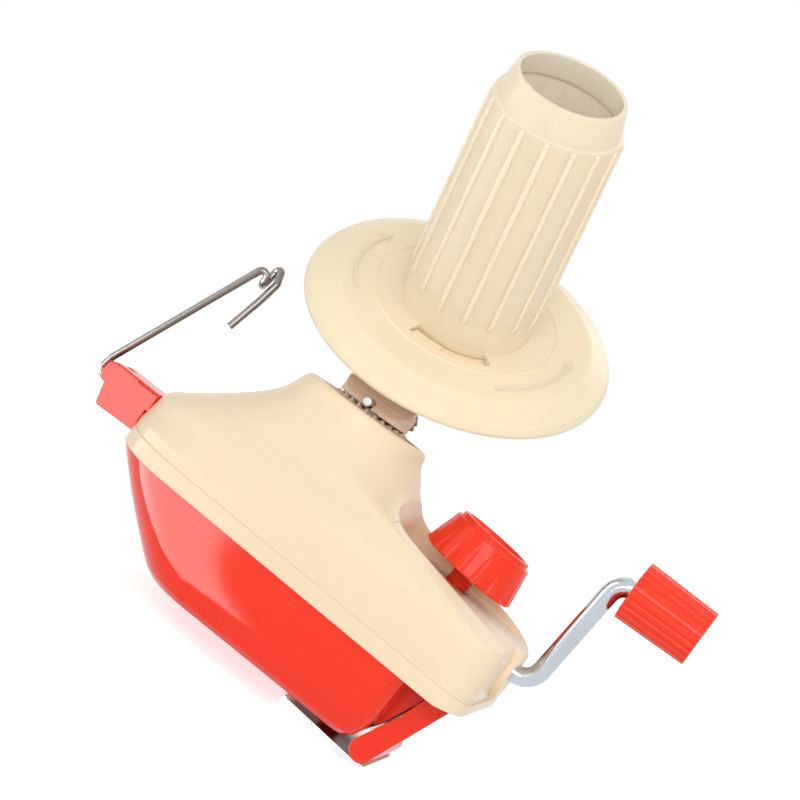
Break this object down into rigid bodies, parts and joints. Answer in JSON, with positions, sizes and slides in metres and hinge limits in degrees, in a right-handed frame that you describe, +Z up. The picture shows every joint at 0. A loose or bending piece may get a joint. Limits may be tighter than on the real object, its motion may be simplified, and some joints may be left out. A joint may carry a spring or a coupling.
{
  "type": "yarn ball winder",
  "caption": "Hand-cranked yarn winder: geared body with a table clamp, a side crank, an inclined spinning spool on a flange and a bent wire yarn guide.",
  "frame": {"origin": "on the spindle axis, in the flat underside of the lower housing that sits on the table", "axes": "+Z up along the spindle, +X along the body toward the crank, +Y toward the side away from the viewer; the spool leans toward -Y at rest"},
  "size_m": [0.2214, 0.1215, 0.2256],
  "materials": {
    "cream_plastic": "gloss",
    "red_plastic": "gloss",
    "tan_plastic": "satin",
    "white_nylon": "satin",
    "chrome_steel": "polished",
    "bright_steel": "drawn",
    "wire_steel": "drawn",
    "brass": "turned"
  },
  "bodies": {
    "housing": {"upper_shell": "cream_plastic", "lower_housing": "red_plastic", "sun_ring": "tan_plastic", "guide_holder": "red_plastic", "hinge_pin": "bright_steel", "pivot_pin": "bright_steel", "housing_screw_1": "bright_steel", "housing_screw_2": "bright_steel", "housing_screw_3": "bright_steel", "housing_screw_4": "bright_steel"},
    "crank": {"crank_rod": "chrome_steel", "crank_gear": "white_nylon"},
    "grip": {"crank_grip": "red_plastic"},
    "head": {"spindle": "bright_steel", "spindle_pinion": "white_nylon", "drive_pin": "bright_steel", "head_carrier": "tan_plastic", "spool_axle": "bright_steel"},
    "lay": {"lay_shaft": "bright_steel", "planet_gear": "tan_plastic", "lay_gear": "white_nylon"},
    "hub": {"spool_hub": "cream_plastic"},
    "spool": {"spool": "cream_plastic"},
    "jaw": {"clamp_jaw": "red_plastic", "clamp_plate": "chrome_steel", "jaw_rivet_1": "bright_steel", "jaw_rivet_2": "bright_steel"},
    "screw": {"clamp_screw": "red_plastic", "screw_button": "bright_steel"},
    "nut": {"clamp_nut": "brass"},
    "guide": {"guide_wire": "wire_steel"}
  },
  "joints": [
    {"name": "crank_turn", "type": "hinge", "parent": "housing", "child": "crank", "pos_m": [0, 0, 0.046], "axis": [1, 0, 0], "continuous": true},
    {"name": "grip_spin", "type": "hinge", "parent": "crank", "child": "grip", "pos_m": [0.105, 0, 0.0906], "axis": [1, 0, 0], "continuous": true},
    {"name": "head_turn", "type": "hinge", "parent": "housing", "child": "head", "pos_m": [0, 0, 0.09], "axis": [0, 0, 1], "continuous": true},
    {"name": "lay_turn", "type": "hinge", "parent": "head", "child": "lay", "pos_m": [0, 0, 0.11633], "axis": [0, -0.6225, 0.7826], "continuous": true},
    {"name": "hub_turn", "type": "hinge", "parent": "head", "child": "hub", "pos_m": [0, 0, 0.1589], "axis": [0, -0.6225, 0.7826], "continuous": true},
    {"name": "spool_twist_lock", "type": "hinge", "parent": "hub", "child": "spool", "pos_m": [0, 0, 0.1589], "axis": [0, -0.6225, 0.7826], "range_deg": [-34, 0]},
    {"name": "knob_turn", "type": "hinge", "parent": "jaw", "child": "screw", "pos_m": [0.0566, 0.0095, 0.062], "axis": [0.0958, 0, 0.9954], "range_deg": [-615, 123]},
    {"name": "jaw_swing", "type": "hinge", "parent": "housing", "child": "jaw", "pos_m": [0.0786, 0, 0.031], "axis": [0, 1, 0], "range_deg": [-6, 1.2]},
    {"name": "nut_swivel", "type": "hinge", "parent": "housing", "child": "nut", "pos_m": [0.05384, 0.0095, 0.03338], "axis": [0, 1, 0], "range_deg": [-6, 1.2]},
    {"name": "guide_fold", "type": "hinge", "parent": "housing", "child": "guide", "pos_m": [-0.0824, 0, 0.0438], "axis": [0, 1, 0], "range_deg": [-90, 0]}
  ],
  "couplings": [
    {"joint": "head_turn", "follows": "crank_turn", "ratio": -3},
    {"joint": "lay_turn", "follows": "crank_turn", "ratio": -4.875},
    {"joint": "hub_turn", "follows": "crank_turn", "ratio": 1.75},
    {"joint": "jaw_swing", "follows": "knob_turn", "ratio": 0.00975},
    {"joint": "nut_swivel", "follows": "knob_turn", "ratio": 0.00975}
  ]
}
